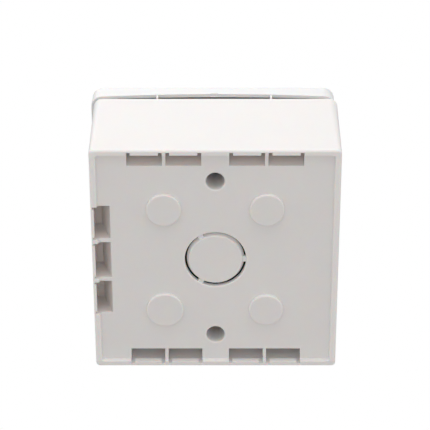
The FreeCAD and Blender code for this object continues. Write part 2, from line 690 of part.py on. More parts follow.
def hinge_arm(x):
    """A thin arm with a round end that reaches back over the shoulder of the chassis."""
    half = HINGE_ARM_WIDTH / 2
    arm_front = FASCIA_REAR + FASCIA_ARCH + EXTRA
    arm = block(x - half, x + half, HINGE_DEPTH, arm_front, HINGE_Z - HINGE_END_RADIUS, FASCIA_HALF - 0.2)
    return arm.fuse(cross_rod(x - half, x + half, HINGE_DEPTH, HINGE_Z, HINGE_END_RADIUS))


def indicator_lens():
    """The clear strip in the flag slot."""
    front = FASCIA_FRONT - LENS_SETBACK
    return lens_slot(FASCIA_SIDE_PLAY, front - LENS_THICKNESS, front)


def mark_shapes(depth0, depth1):
    """A dot between two arrows that point at it, and a bar above and below."""
    marks = [rod(0, 0, MARK_DOT_RADIUS, depth0, depth1)]
    for side in (1, -1):
        tip = side * (MARK_DOT_RADIUS + MARK_ARROW_GAP)
        tail = tip + side * MARK_ARROW_LENGTH
        points = [
            (tip, -depth1, 0),
            (tail, -depth1, MARK_ARROW_WIDTH / 2),
            (tail, -depth1, -MARK_ARROW_WIDTH / 2),
        ]
        marks.append(outline(points, (0, depth1 - depth0, 0)))
        level = side * (WINDOW_HEIGHT / 2 - 4 * MARK_BAR)
        reach = WINDOW_WIDTH / 2 - 3 * MARK_BAR
        marks.append(block(-reach, reach, depth0, depth1, level - MARK_BAR / 2, level + MARK_BAR / 2))
    return marks


def operating_plate():
    """The plate that is pressed in, with two guide posts and the nub that works the switch."""
    plate = rounded_block(PRESS_HALF_X, PRESS_HALF_Z, PRESS_CORNER, PRESS_REAR, PRESS_FRONT)
    for mark in mark_shapes(PRESS_FRONT - MARK_THICKNESS, PRESS_FRONT + EXTRA):
        plate = plate.cut(mark)
    post_end = DECK_FRONT + 1.3
    for x, z in post_points():
        plate = plate.fuse(rod(x, z, POST_RADIUS, post_end, PRESS_REAR + 0.5))
    depth, z = lever_point(NUB_ARM, LEVER_REST_ANGLE)
    nub_end = depth + lever_reach(NUB_RADIUS)
    return plate.fuse(rod(SWITCH_X, z, NUB_RADIUS, nub_end, PRESS_REAR + 0.5))


def plate_marks():
    """The printed marks, let into the face of the operating plate."""
    return Part.makeCompound(mark_shapes(PRESS_FRONT - MARK_THICKNESS, PRESS_FRONT))


def crank_point(turn):
    """Where the crank pin of the reset barrel stands after turning from rest."""
    angle = math.radians(BARREL_TURN / 2 - turn)
    return CRANK_RADIUS * math.cos(angle), BARREL_Z + CRANK_RADIUS * math.sin(angle)


def flag_slider():
    """The sliding flag: a stem with a cross slot for the crank pin and a bar that shows in front."""
    half = FLAG_STEM_WIDTH / 2
    pin_x, pin_z = crank_point(0)
    far_x = crank_point(BARREL_TURN / 2)[0]
    bar_bottom = SLOT_Z + FLAG_TRAVEL - (FLAG_BAR_HEIGHT - SLOT_HEIGHT) / 2
    bar_top = bar_bottom + FLAG_BAR_HEIGHT
    stem_bottom = pin_z - PIN_RADIUS - 2.0
    flag = block(-half, half, FLAG_REAR, FLAG_FRONT, stem_bottom, bar_top)
    hub_end = far_x + PIN_RADIUS + 2.0
    flag = flag.fuse(block(-half, hub_end, FLAG_REAR, FLAG_FRONT, stem_bottom, pin_z + PIN_RADIUS + 2.0))
    bar_half = FLAG_BAR_WIDTH / 2
    flag = flag.fuse(block(-half, half, FLAG_REAR, PRESS_FRONT, bar_top - FLAG_THICKNESS, bar_top))
    flag = flag.fuse(
        block(-bar_half, bar_half, PRESS_FRONT - FLAG_THICKNESS, PRESS_FRONT, bar_bottom, bar_top)
    )
    slot_half = PIN_RADIUS + PIN_CLEARANCE
    slot_start = pin_x - slot_half - PIN_CLEARANCE
    slot_end = far_x + slot_half + PIN_CLEARANCE
    return flag.cut(
        block(slot_start, slot_end, FLAG_REAR - 1, FLAG_FRONT + 1, pin_z - slot_half, pin_z + slot_half)
    )


def reset_barrel():
    """The key-turned barrel: collar with a key slot, body, disc and crank pin."""
    barrel = rod(0, BARREL_Z, BARREL_COLLAR_RADIUS, BRACKET_FRONT + 0.3, PRESS_FRONT)
    barrel = barrel.fuse(rod(0, BARREL_Z, BARREL_RADIUS, DISC_FRONT - 0.2, PRESS_FRONT - 0.2))
    barrel = barrel.fuse(rod(0, BARREL_Z, BARREL_DISC_RADIUS, DISC_REAR, DISC_FRONT))
    pin_x, pin_z = crank_point(0)
    barrel = barrel.fuse(rod(pin_x, pin_z, PIN_RADIUS, FLAG_REAR - 0.2, DISC_REAR + 0.5))
    slot = block(-2.2, 2.2, PRESS_FRONT - 2.5, PRESS_FRONT + 1, BARREL_Z - 0.6, BARREL_Z + 0.6)
    bore = rod(0, BARREL_Z, 1.2, PRESS_FRONT - 2.5, PRESS_FRONT + 1)
    return barrel.cut(slot).cut(bore)


def barrel_bracket():
    """A bridge on two legs with a snap-in bearing for the reset barrel."""
    low = BARREL_Z - BRACKET_HEIGHT / 2
    high = BARREL_Z + BRACKET_HEIGHT / 2
    leg_outer = BRACKET_LEG_X + BRACKET_LEG
    foot_outer = leg_outer + BRACKET_FOOT
    bracket = block(-leg_outer, leg_outer, BRACKET_REAR, BRACKET_FRONT, low, high)
    for side in (1, -1):
        bracket = bracket.fuse(
            block(side * BRACKET_LEG_X, side * leg_outer, DECK_FRONT, BRACKET_FRONT, low, high)
        )
        bracket = bracket.fuse(
            block(
                side * BRACKET_LEG_X, side * foot_outer,
                DECK_FRONT, DECK_FRONT + BRACKET_FOOT_THICKNESS, low, high,
            )
        )
    for x, z in foot_screw_points():
        bracket = bracket.cut(rod(x, z, BOARD_SCREW[2] + 0.2, DECK_FRONT - 1, DECK_FRONT + 3))
    bearing = rod(0, BARREL_Z, BARREL_RADIUS + RUNNING_FIT, BRACKET_REAR - 1, BRACKET_FRONT + 1)
    mouth = block(-SNAP_MOUTH / 2, SNAP_MOUTH / 2, BRACKET_REAR - 1, BRACKET_FRONT + 1, low - 1, BARREL_Z)
    return bracket.cut(bearing).cut(mouth)


def switch_body():
    """The microswitch case with two ears for the lever's pin and a bore for its plunger."""
    half = SWITCH_WIDTH / 2
    top = SWITCH_BOTTOM + SWITCH_LENGTH
    case = block(SWITCH_X - half, SWITCH_X + half, DECK_FRONT, SWITCH_FRONT, SWITCH_BOTTOM, top)
    for side in (1, -1):
        inner = SWITCH_X + side * (LEVER_WIDTH / 2 + 0.2)
        outer = SWITCH_X + side * half
        ear = block(inner, outer, SWITCH_FRONT - 0.5, LEVER_HINGE_DEPTH, LEVER_HINGE_Z - 1, LEVER_HINGE_Z + 1)
        ear = ear.fuse(cross_rod(min(inner, outer), max(inner, outer), LEVER_HINGE_DEPTH, LEVER_HINGE_Z, 1.0))
        case = case.fuse(ear)
    relief = LEVER_EYE_RADIUS + 0.2
    case = case.cut(
        cross_rod(
            SWITCH_X - LEVER_WIDTH / 2 - 0.2, SWITCH_X + LEVER_WIDTH / 2 + 0.2,
            LEVER_HINGE_DEPTH, LEVER_HINGE_Z, relief,
        )
    )
    case = case.fuse(
        cross_rod(SWITCH_X - half, SWITCH_X + half, LEVER_HINGE_DEPTH, LEVER_HINGE_Z, LEVER_PIN_RADIUS)
    )
    plunger_z = LEVER_HINGE_Z + PLUNGER_ARM
    return case.cut(rod(SWITCH_X, plunger_z, PLUNGER_RADIUS + RUNNING_FIT, SWITCH_FRONT - PLUNGER_LENGTH, SWITCH_FRONT + 1))


def switch_lever():
    """The thin lever with a rolled eye round its pin."""
    half = LEVER_WIDTH / 2
    eye_wall = LEVER_PIN_RADIUS + RUNNING_FIT
    lever = block(
        SWITCH_X - half, SWITCH_X + half,
        LEVER_HINGE_DEPTH - LEVER_THICKNESS / 2, LEVER_HINGE_DEPTH + LEVER_THICKNESS / 2,
        LEVER_HINGE_Z, LEVER_HINGE_Z + LEVER_LENGTH,
    )
    pivot = Vector(SWITCH_X, -LEVER_HINGE_DEPTH, LEVER_HINGE_Z)
    lever.rotate(pivot, Vector(1, 0, 0), LEVER_REST_ANGLE)
    lever = lever.fuse(
        cross_rod(SWITCH_X - half, SWITCH_X + half, LEVER_HINGE_DEPTH, LEVER_HINGE_Z, LEVER_EYE_RADIUS)
    )
    return lever.cut(
        cross_rod(SWITCH_X - half - 1, SWITCH_X + half + 1, LEVER_HINGE_DEPTH, LEVER_HINGE_Z, eye_wall)
    )


def switch_plunger():
    """The button of the switch, under the lever."""
    z = LEVER_HINGE_Z + PLUNGER_ARM
    lever_depth = LEVER_HINGE_DEPTH + PLUNGER_ARM * math.tan(math.radians(LEVER_REST_ANGLE))
    top = lever_depth - lever_reach(PLUNGER_RADIUS)
    return rod(SWITCH_X, z, PLUNGER_RADIUS, top - PLUNGER_LENGTH, top)


def switch_pins():
    """Solder pins from the switch through the board."""
    return Part.makeCompound(
        [rod(x, z, 0.5, BOARD_REAR - 1.2, DECK_FRONT) for x, z in switch_pin_points()]
    )


def circuit_board():
    """The board behind the deck, with holes for its screws and the switch's pins."""
    board = rounded_block(BOARD_WIDTH / 2, BOARD_HEIGHT / 2, 1.0, BOARD_REAR, BOARD_FRONT)
    for x, z in standoff_points():
        board = board.cut(rod(x, z, BOARD_SCREW[2] + 0.2, BOARD_REAR - 1, BOARD_FRONT + 1))
    for x, z in switch_pin_points():
        board = board.cut(rod(x, z, 0.5 + THREAD_CLEARANCE, BOARD_REAR - 1, BOARD_FRONT + 1))
    return board


def terminal_xs():
    """The middle of each way of the terminal block."""
    start = -TERMINAL_PITCH * (TERMINAL_WAYS - 1) / 2
    return [start + TERMINAL_PITCH * way for way in range(TERMINAL_WAYS)]


def terminal_block():
    """The wiring terminals: wires enter from below, screws are turned from the rear."""
    half = TERMINAL_PITCH * TERMINAL_WAYS / 2
    rear = BOARD_REAR - TERMINAL_DEPTH
    case = block(-half, half, rear, BOARD_REAR, TERMINAL_Z - TERMINAL_HEIGHT / 2, TERMINAL_Z + TERMINAL_HEIGHT / 2)
    low = TERMINAL_Z - TERMINAL_HEIGHT / 2
    for x in terminal_xs():
        entry_far = BOARD_REAR - 1.2
        case = case.cut(
            block(x - ENTRY_WIDTH / 2, x + ENTRY_WIDTH / 2, entry_far - ENTRY_HEIGHT, entry_far, low - 1, low + 6.5)
        )
        case = case.cut(rod(x, TERMINAL_Z, 1.9, rear - 1, entry_far - ENTRY_HEIGHT + 0.5))
    return case


def terminal_clamps():
    """A metal cage in each wire entry."""
    low = TERMINAL_Z - TERMINAL_HEIGHT / 2 + 1.0
    far = BOARD_REAR - 1.2
    cages = []
    for x in terminal_xs():
        outer_half = ENTRY_WIDTH / 2
        cage = block(x - outer_half, x + outer_half, far - ENTRY_HEIGHT, far, low, low + 5.5)
        inner_half = outer_half - 0.5
        cages.append(
            cage.cut(block(x - inner_half, x + inner_half, far - ENTRY_HEIGHT + 0.6, far - 0.5, low - 1, low + 7))
        )
    return Part.makeCompound(cages)


def terminal_screws():
    """A slotted clamp screw in each way."""
    seat = BOARD_REAR - 1.2 - ENTRY_HEIGHT
    screws = []
    for x in terminal_xs():
        head = rod(x, TERMINAL_Z, 1.85, seat - 3.6, seat)
        screws.append(head.cut(block(x - 2, x + 2, seat - 4, seat - 2.8, TERMINAL_Z - 0.3, TERMINAL_Z + 0.3)))
    return Part.makeCompound(screws)


def led():
    """The indicator lamp on the front of the board: a domed barrel on a flat base."""
    top = BOARD_FRONT + LED_HEIGHT - LED_RADIUS
    lamp = rod(LED_X, LED_Z, LED_RADIUS, BOARD_FRONT, top)
    return lamp.fuse(Part.makeSphere(LED_RADIUS, Vector(LED_X, -top, LED_Z)))


def light_pipe():
    """A clear rod from the lamp to the hole in the fascia, with a collar on the deck."""
    rear = BOARD_FRONT + LED_HEIGHT + PIPE_GAP
    pipe = rod(LED_X, LED_Z, PIPE_RADIUS, rear, PRESS_FRONT)
    return pipe.fuse(rod(LED_X, LED_Z, PIPE_COLLAR, DECK_FRONT, DECK_FRONT + 1.5))


def bent_lead(x, depth, z, way):
    """A wire lead that leaves a resistor along Z and bends down into the board."""
    straight = LEAD_LENGTH - LEAD_BEND
    start = Vector(x, -depth, z)
    first = Vector(x, -depth, z + way * straight)
    quarter = LEAD_BEND * (1 - math.sqrt(0.5))
    middle = Vector(x, -depth - quarter, z + way * (straight + LEAD_BEND - quarter))
    last = Vector(x, -depth - LEAD_BEND, z + way * LEAD_LENGTH)
    end = Vector(x, -BOARD_REAR, z + way * LEAD_LENGTH)
    path = Part.Wire(
        [Part.makeLine(start, first), Part.Arc(first, middle, last).toShape(), Part.makeLine(last, end)]
    )
    section = Part.Wire(Part.makeCircle(LEAD_RADIUS, start, Vector(0, 0, way)))
    return path.makePipeShell([section], True, False)


def resistors():
    """Two axial resistors with bent leads on the rear of the board."""
    parts = []
    depth = BOARD_REAR - RESISTOR_RADIUS - 0.7
    for x in RESISTOR_XS:
        body = Part.makeCylinder(RESISTOR_RADIUS, RESISTOR_LENGTH, Vector(x, -depth, RESISTOR_Z), Vector(0, 0, 1))
        body = body.fuse(bent_lead(x, depth, RESISTOR_Z + 0.5, -1))
        parts.append(body.fuse(bent_lead(x, depth, RESISTOR_Z + RESISTOR_LENGTH - 0.5, 1)))
    return Part.makeCompound(parts)


def capacitor():
    """A round can capacitor standing on the rear of the board."""
    can = rod(10.0, 8.0, 4.0, BOARD_REAR - 9.0, BOARD_REAR)
    return can.makeFillet(0.6, edges_at(can, BOARD_REAR - 9.0))


def chassis_screws():
    """Two screws through the deck into the pillars of the box."""
    return Part.makeCompound([screw(x, z, CHASSIS_SCREW, DECK_FRONT, SCREW_LENGTH) for x, z in pillar_points()])


def board_screws():
    """Four screws through the board into the standoffs."""
    return Part.makeCompound([screw(x, z, BOARD_SCREW, BOARD_REAR, 6.0, False) for x, z in standoff_points()])


def bracket_screws():
    """Two screws through the feet of the barrel bracket into the deck."""
    seat = DECK_FRONT + BRACKET_FOOT_THICKNESS
    return Part.makeCompound([screw(x, z, BOARD_SCREW, seat, 4.0) for x, z in foot_screw_points()])


def plate_spring(side):
    """The return spring round one guide post."""
    return coil(side * POST_X, POST_Z, GUIDE_FRONT, PRESS_REAR)


NODES = {
    "back_box": back_box,
    "chassis": chassis,
    "chassis_screws": chassis_screws,
    "fascia": fascia,
    "indicator_lens": indicator_lens,
    "operating_plate": operating_plate,
    "plate_marks": plate_marks,
    "plate_spring_right": lambda: plate_spring(1),
    "plate_spring_left": lambda: plate_spring(-1),
    "flag_slider": flag_slider,
    "reset_barrel": reset_barrel,
    "barrel_bracket": barrel_bracket,
    "bracket_screws": bracket_screws,
    "switch_body": switch_body,
    "switch_lever": switch_lever,
    "switch_plunger": switch_plunger,
    "switch_pins": switch_pins,
    "circuit_board": circuit_board,
    "board_screws": board_screws,
    "terminal_block": terminal_block,
    "terminal_clamps": terminal_clamps,
    "terminal_screws": terminal_screws,
    "led": led,
    "light_pipe": light_pipe,
    "resistors": resistors,
    "capacitor": capacitor,
}

os.makedirs("parts", exist_ok=True)
for name, build in NODES.items():
    shape = build()
    if not shape.isValid():
        raise ValueError(f"{name} is not a valid shape")
    shape.exportStep(f"parts/{name}.step")
    print(f"{name}: {len(shape.Solids)} solid, {shape.Volume:.1f} mm3")
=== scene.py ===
"""Looks for a wall-mounted manual call point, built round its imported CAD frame."""
import math

import bmesh
import bpy
from bpy.props import FloatProperty, FloatVectorProperty, PointerProperty
from mathutils import Matrix, Vector


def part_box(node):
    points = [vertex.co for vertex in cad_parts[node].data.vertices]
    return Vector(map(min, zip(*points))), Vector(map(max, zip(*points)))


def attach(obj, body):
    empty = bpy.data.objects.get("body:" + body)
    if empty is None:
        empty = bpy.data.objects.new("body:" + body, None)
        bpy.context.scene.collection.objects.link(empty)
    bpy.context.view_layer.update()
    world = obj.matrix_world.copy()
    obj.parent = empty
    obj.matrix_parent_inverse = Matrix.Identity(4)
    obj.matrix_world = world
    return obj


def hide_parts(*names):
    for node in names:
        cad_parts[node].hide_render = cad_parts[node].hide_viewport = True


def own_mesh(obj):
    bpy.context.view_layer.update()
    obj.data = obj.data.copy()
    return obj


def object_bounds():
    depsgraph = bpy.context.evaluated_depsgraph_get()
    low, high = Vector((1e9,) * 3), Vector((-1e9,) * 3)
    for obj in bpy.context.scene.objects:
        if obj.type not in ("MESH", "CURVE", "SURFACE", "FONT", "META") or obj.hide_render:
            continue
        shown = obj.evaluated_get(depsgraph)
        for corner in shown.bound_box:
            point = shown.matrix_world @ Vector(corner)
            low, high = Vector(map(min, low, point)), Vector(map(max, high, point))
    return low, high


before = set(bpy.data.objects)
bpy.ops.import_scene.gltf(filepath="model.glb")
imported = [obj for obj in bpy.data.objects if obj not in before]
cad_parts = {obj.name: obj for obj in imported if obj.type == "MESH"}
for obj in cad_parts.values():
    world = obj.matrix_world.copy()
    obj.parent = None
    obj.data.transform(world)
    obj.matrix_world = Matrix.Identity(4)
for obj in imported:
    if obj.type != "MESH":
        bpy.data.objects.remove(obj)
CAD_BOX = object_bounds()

bl_info = {
    "name": "Manual call point looks",
    "version": (1, 0, 0),
    "blender": (4, 5, 0),
    "location": "View3D > Sidebar > Call point",
    "description": "Finishes, small details, lights and camera for a manual call point",
    "category": "Object",
}

MM = 0.001

# Where the back's rim and bays lie, from the middle and below the wall's plane, in mm; the painted
# highlight and painted shade are laid there
RIM_START = 40.45
RIM_END = 41.9
RIM_DEPTH = 0.9
BAY_START = 35.6
BAY_DEPTH = 1.7

# Painted light, as shares of the box's colour: one painted highlight for the rim, and painted
# darker, warmer shade for the bays' three channels
RIM_PAINTED_HIGHLIGHT = 1.06
BAY_PAINTED_SHADE = (0.97, 0.93, 0.91)

# How far red, green and blue travel inside the white plastic, of its light depth
GLOW_SPREAD = (1.0, 0.72, 0.55)

# Texture sizes in cells per metre, and how high the finest reliefs stand, in mm
FLOW_CLOUDS = 38.0
SPECK_SHARE = 0.35
SCRATCHES = 900.0
SCRATCH_STRETCH = 9.0
DULL_PATCHES = 160.0
HAZE = 220.0
WEAVE = 1500.0
TRACKS = 260.0
POLISHED_RELIEF = 0.004
TRACK_RELIEF = 0.02

# Return springs and the plate's travel, in mm
WIRE_RADIUS = 0.3
WIRE_SIDES = 10
COIL_TURNS = 6
COIL_STEPS = 32
CLOSED_PITCH = 2.1 * WIRE_RADIUS
PRESS_TRAVEL = 3.5
SPRING_SLACK = 0.04

# Small parts on the circuit board, in mm
ROUND_SIDES = 24
LEAD_ROWS = (2.0, 13.0)
PIN_STEP = 5.0
TERMINAL_WAYS = 4
LAMP_LEADS = 2.54
CAN_LEADS = 3.5
RESISTOR_SPACING = 8.0
BAND_HEIGHTS = (5.4, 6.6, 7.8, 9.6)
BAND_PROFILE = ((-0.35, -0.01), (-0.3, 0.03), (0.3, 0.03), (0.35, -0.01))
JOINT_PROFILE = ((1.15, 0.0), (0.8, 0.12), (0.62, 0.4), (0.55, 0.95))
DOME_PROFILE = ((1.05, 0.0), (0.85, 0.15), (0.6, 0.45), (0.3, 0.72), (0.0, 0.8))
CAN_TOP_PROFILE = ((3.05, -0.02), (3.0, 0.1), (2.7, 0.14), (2.5, 0.06), (0.0, 0.05))

# The stage, in metres
FLOOR_HALF = 6.0
SHADOW_REACH = 0.2
FLOOR_COLOUR = (0.62, 0.61, 0.60, 1.0)
WHITE = (1.0, 1.0, 1.0, 1.0)


# ---------------------------------------------------------------- shader maths

class Value:
    """A socket that can be used in Python expressions."""

    def __init__(self, tree, socket):
        self.tree = tree
        self.socket = socket

    def _maths(self, operation, *values):
        node = self.tree.nodes.new("ShaderNodeMath")
        node.operation = operation
        for number, value in enumerate(values):
            if isinstance(value, Value):
                self.tree.links.new(value.socket, node.inputs[number])
            else:
                node.inputs[number].default_value = value
        return Value(self.tree, node.outputs[0])

    def __add__(self, other):
        return self._maths("ADD", self, other)

    def __radd__(self, other):
        return self._maths("ADD", other, self)

    def __sub__(self, other):
        return self._maths("SUBTRACT", self, other)

    def __rsub__(self, other):
        return self._maths("SUBTRACT", other, self)

    def __mul__(self, other):
        return self._maths("MULTIPLY", self, other)

    def __rmul__(self, other):
        return self._maths("MULTIPLY", other, self)

    def above(self, limit):
        return self._maths("GREATER_THAN", self, limit)

    def below(self, limit):
        return self._maths("LESS_THAN", self, limit)

    def at_least(self, limit):
        return self._maths("MAXIMUM", self, limit)

    def size(self):
        return self._maths("ABSOLUTE", self)


def feed(tree, socket, value):
    """Links a value or a socket to a socket, or sets it."""
    if isinstance(value, Value):
        tree.links.new(value.socket, socket)
    elif isinstance(value, bpy.types.NodeSocket):
        tree.links.new(value, socket)
    else:
        socket.default_value = value


def add_node(tree, kind, settings=None, **inputs):
    """Adds any node: its settings first, then the values or links of its sockets."""
    node = tree.nodes.new(kind)
    for key, value in (settings or {}).items():
        setattr(node, key, value)
    for key, value in inputs.items():
        feed(tree, node.inputs[key.replace("_", " ")], value)
    return node


class Finish:
    """A material with one Principled shader, and short ways to feed it."""

    def __init__(self, name):
        self.material = bpy.data.materials.new(name)
        self.material.use_nodes = True
        self.tree = self.material.node_tree
        self.tree.nodes.clear()
        self.shader = self.node("ShaderNodeBsdfPrincipled")
        self.output = self.node("ShaderNodeOutputMaterial", Surface=self.shader.outputs[0])
        self.place = self.node("ShaderNodeTexCoord").outputs["Object"]

    def node(self, kind, settings=None, **inputs):
        return add_node(self.tree, kind, settings, **inputs)

    def set(self, **inputs):
        """Sets or links sockets of the shader."""
        for key, value in inputs.items():
            feed(self.tree, self.shader.inputs[key.replace("_", " ")], value)

    def noise(self, scale, detail=2.0, roughness=0.5):
        """Cloudy noise from 0 to 1; scale is its cells per metre."""
        node = self.node(
            "ShaderNodeTexNoise",
            Vector=self.place,
            Scale=scale,
            Detail=detail,
            Roughness=roughness,
        )
        return Value(self.tree, node.outputs["Fac"])

    def axes(self):
        """The place on the object along X, Y and Z, in metres."""
        node = self.node("ShaderNodeSeparateXYZ", Vector=self.place)
        return [Value(self.tree, node.outputs[name]) for name in "XYZ"]

    def blend(self, factor, first, second):
        """A colour between two others."""
        node = self.node("ShaderNodeMix", {"data_type": "RGBA"})
        # The Mix node has sockets for each kind of value; 0, 6, 7 and output 2 are for colour
        feed(self.tree, node.inputs[0], factor)
        for socket, value in ((node.inputs[6], first), (node.inputs[7], second)):
            if isinstance(value, tuple):
                value = (*value, 1.0)
            feed(self.tree, socket, value)
        return node.outputs[2]

    def bump(self, height, distance):
        """Relief: a height of 1 stands a distance in metres above the surface."""
        node = self.node("ShaderNodeBump", Height=height, Strength=1.0, Distance=distance)
        self.set(Normal=node.outputs[0])


def shade(colour, factor):
    """A colour made lighter or darker."""
    return tuple(min(1.0, channel * factor) for channel in colour)


def moulded_plastic(
    name, colour, roughness, grain=2600.0, relief=0.012, mottle=0.035, coat=0.0, depth=0.0
):
    """Injection-moulded plastic: faint flow mottling, uneven gloss and a fine spark texture.

    grain is the spark texture's cells per metre, relief its height in mm and mottle the share by
    which the tone varies. depth is how far light travels inside it, in metres, for pale plastic
    that lets some through.
    """
    finish = Finish(name)
    cloud = finish.noise(FLOW_CLOUDS, 3.0, 0.55)
    fine = finish.noise(grain, 2.0, 0.6)
    speck = finish.noise(grain * SPECK_SHARE)
    tone = cloud * 0.75 + speck * 0.25
    finish.set(
        Base_Color=finish.blend(tone, shade(colour, 1 - mottle), shade(colour, 1 + mottle)),
        Roughness=(cloud - 0.5) * 0.12 + (fine - 0.5) * 0.10 + roughness,
        Coat_Weight=coat,
        Coat_Roughness=0.12,
        Specular_IOR_Level=0.45,
    )
    if depth:
        finish.set(
            Subsurface_Weight=1.0,
            Subsurface_Radius=GLOW_SPREAD,
            Subsurface_Scale=depth,
        )
    finish.bump(fine + speck * 0.6 + cloud * 0.5, relief * MM)
    return finish


def back_box_plastic_painted_light(name, colour, roughness, depth):
    """Box plastic; painted highlight on the rim but its bottom, painted warmer shade in top and
    side bays.
    """
    finish = moulded_plastic(name, colour, roughness, depth=depth)
    x, y, z = finish.axes()
    reach = x.size().at_least(z.size())
    # Painted highlight: the rim, but for its bottom, is drawn lighter than the plastic
    rim = reach.above(RIM_START * MM) * y.above(-RIM_DEPTH * MM) * z.above(-RIM_START * MM)
    inside = reach.below(RIM_END * MM) * x.at_least(z).above(BAY_START * MM)
    # Painted shade: the top and side bays are drawn darker and warmer past the bay depth
    bay_shade_mask = inside * y.below(-BAY_DEPTH * MM)
    plain_tone = finish.shader.inputs["Base Color"].links[0].from_socket
    with_rim_highlight = finish.blend(rim, plain_tone, shade(colour, RIM_PAINTED_HIGHLIGHT))
    bay_shade_colour = tuple(channel * tone for channel, tone in zip(colour, BAY_PAINTED_SHADE))
    finish.set(Base_Color=finish.blend(bay_shade_mask, with_rim_highlight, bay_shade_colour))
    return finish


def turned_metal(name, colour, roughness):
    """Plated or drawn metal with short directional scratches and dull patches."""
    finish = Finish(name)
    stretch = finish.node(
        "ShaderNodeMapping", Vector=finish.place, Scale=(1.0, SCRATCH_STRETCH, 1.0)
    )
    lines = finish.node(
        "ShaderNodeTexNoise", Vector=stretch.outputs[0], Scale=SCRATCHES, Detail=3.0
    )
    scratch = Value(finish.tree, lines.outputs["Fac"])
    patch = finish.noise(DULL_PATCHES)
    finish.set(
        Base_Color=finish.blend(patch, shade(colour, 0.88), shade(colour, 1.06)),
        Metallic=1.0,
        Roughness=(scratch - 0.5) * 0.25 + (patch - 0.5) * 0.15 + roughness,
    )
    finish.bump(scratch, POLISHED_RELIEF * MM)
    return finish


def clear_plastic(name, colour, roughness):
    """Clear moulded plastic with faint haze."""
    finish = Finish(name)
    haze = finish.noise(HAZE)
    finish.set(
        Base_Color=finish.blend(haze, shade(colour, 0.96), colour),
        Roughness=(haze - 0.5) * 0.06 + roughness,
        Transmission_Weight=0.9,
        IOR=1.49,
    )
    finish.bump(haze, POLISHED_RELIEF * MM)
    return finish


def circuit_board_finish(name, colour):
    """Solder mask over copper tracks: raised lines of a lighter green, and a fine weave."""
    finish = Finish(name)
    x, _, z = finish.axes()
    weave = finish.noise(WEAVE)
    flat = finish.node("ShaderNodeCombineXYZ", X=x, Y=z)
    lanes = finish.node(
        "ShaderNodeTexBrick",
        {"offset": 0.5},
        Vector=flat.outputs[0],
        Scale=TRACKS,
        Mortar_Size=0.035,
        Brick_Width=3.1,
        Row_Height=0.75,
    )
    track = Value(finish.tree, lanes.outputs["Fac"])
    mask = finish.blend(weave, shade(colour, 0.85), shade(colour, 1.1))
    finish.set(
        Base_Color=finish.blend(track, mask, shade(colour, 1.7)),
        Roughness=(weave - 0.5) * 0.2 + 0.34,
        Coat_Weight=0.5,
        Coat_Roughness=0.2,
    )
    finish.bump(track + weave * 0.2, TRACK_RELIEF * MM)
    return finish


# ---------------------------------------------------------------- settings

class CallPointSettings(bpy.types.PropertyGroup):
    """Colours and sizes a user may change."""

    box_colour: FloatVectorProperty(
        name="Box",
        description="Plastic of the surface box",
        subtype="COLOR",
        size=3,
        min=0,
        max=1,
        default=(0.84, 0.815, 0.80),
    )
    fascia_colour: FloatVectorProperty(
        name="Fascia",
        description="Plastic of the hinged fascia",
        subtype="COLOR",
        size=3,
        min=0,
        max=1,
        default=(0.79, 0.79, 0.79),
    )
    flag_colour: FloatVectorProperty(
        name="Flag",
        description="Alarm flag that drops above the window",
        subtype="COLOR",
        size=3,
        min=0,
        max=1,
        default=(0.83, 0.52, 0.02),
    )
    roughness: FloatProperty(
        name="Roughness",
        description="Roughness of the box's white plastic",
        subtype="FACTOR",
        min=0,
        max=1,
        default=0.5,
    )
    glow_depth: FloatProperty(
        name="Light depth",
        description="How far light travels inside the white plastic",
        unit="LENGTH",
        min=0,
        max=0.02,
        default=0.0005,
    )


class StageSettings(bpy.types.PropertyGroup):
    """Camera and light."""

    camera_distance: FloatProperty(
        name="Camera distance",
        description="From the object's origin, the middle of the back",
        unit="LENGTH",
        min=0.1,
        default=0.6278,
    )
    elevation: FloatProperty(
        name="Elevation",
        description="Camera above the horizon",
        subtype="ANGLE",
        default=math.radians(29.01),
    )
    azimuth: FloatProperty(
        name="Azimuth",
        description="Camera round from straight behind",
        subtype="ANGLE",
        default=math.radians(-0.254),
    )
    roll: FloatProperty(
        name="Roll",
        description="Tilt of the camera",
        subtype="ANGLE",
        default=math.radians(-0.138),
    )
    lens: FloatProperty(
        name="Lens",
        description="Focal length in mm on a 36 mm sensor",
        min=10,
        default=152.28,
    )
    aim: FloatVectorProperty(
        name="Aim",
        description="Point looked at",
        subtype="TRANSLATION",
        unit="LENGTH",
        size=3,
        default=(0.000108, 0.0, 0.01814),
    )
    floor_drop: FloatProperty(
        name="Floor below",
        description="Distance of the floor under the object",
        unit="LENGTH",
        min=0,
        default=0.28,
    )
    top_light: FloatProperty(
        name="Top light",
        description="Power of the overhead lamp in watts",
        min=0,
        default=2.6,
    )
    rear_light: FloatProperty(
        name="Rear light",
        description="Power of the lamp at the wall side in watts",
        min=0,
        default=1.0,
    )
    front_light: FloatProperty(
        name="Front light",
        description="Power of the lamp in front in watts",
        min=0,
        default=2.5,
    )
    ambient: FloatProperty(
        name="Ambient",
        description="Strength of the surrounding light",
        min=0,
        default=0.66,
    )


def settings():
    return bpy.context.scene.call_point


def stage_settings():
    return bpy.context.scene.call_point_stage


def dress(finish, *nodes):
    """Gives CAD nodes a finish."""
    for name in nodes:
        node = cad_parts[name]
        for slot in node.material_slots:
            slot.material = finish.material
        if not node.material_slots:
            node.data.materials.append(finish.material)


def bridge(shape, rings):
    """Joins neighbouring rings of vertices; a ring of one vertex closes to a point."""
    for low, high in zip(rings, rings[1:]):
        for step in range(len(low)):
            after = (step + 1) % len(low)
            if len(high) == 1:
                shape.faces.new((low[step], low[after], high[0]))
            else:
                shape.faces.new((low[step], low[after], high[after], high[step]))


